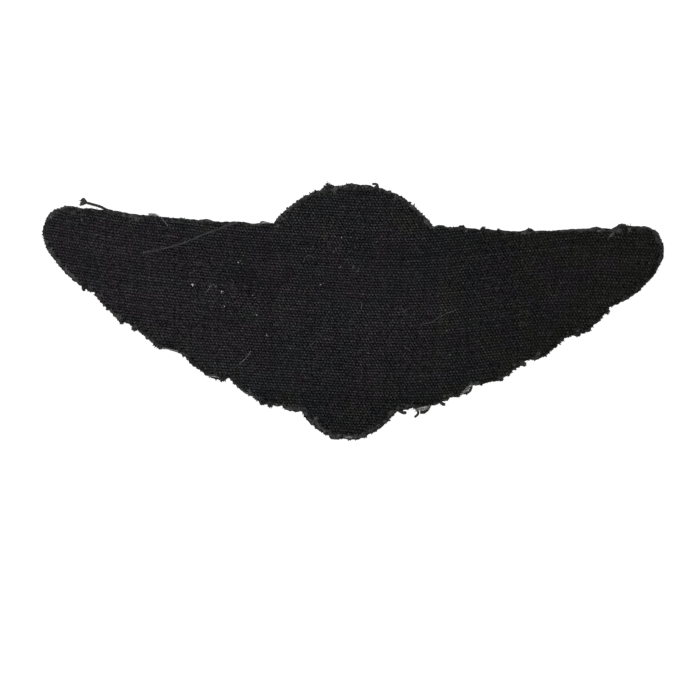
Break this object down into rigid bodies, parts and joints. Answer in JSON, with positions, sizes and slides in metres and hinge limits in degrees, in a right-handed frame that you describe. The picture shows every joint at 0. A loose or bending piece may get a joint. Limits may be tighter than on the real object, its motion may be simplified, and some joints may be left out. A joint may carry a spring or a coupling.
{
  "type": "cloth wing badge",
  "caption": "Wing-shaped cloth badge: a felt ground with a woven cotton backing pasted on, scalloped lower edges, a dome on top and a small lobe below.",
  "frame": {"origin": "centre of the badge's bounding box, on the surface that it lies on", "axes": "+X along the wings, to the right as seen from the backing side; +Y towards the dome; +Z out of the backing"},
  "size_m": [0.108, 0.0446, 0.0025],
  "materials": {
    "felt_ground": "black wool felt with a fuzzy cut edge",
    "backing_cloth": "black plain-weave cotton with a raw cut edge"
  },
  "bodies": {
    "root": {"felt_ground": "felt_ground", "backing_cloth": "backing_cloth"}
  },
  "joints": []
}
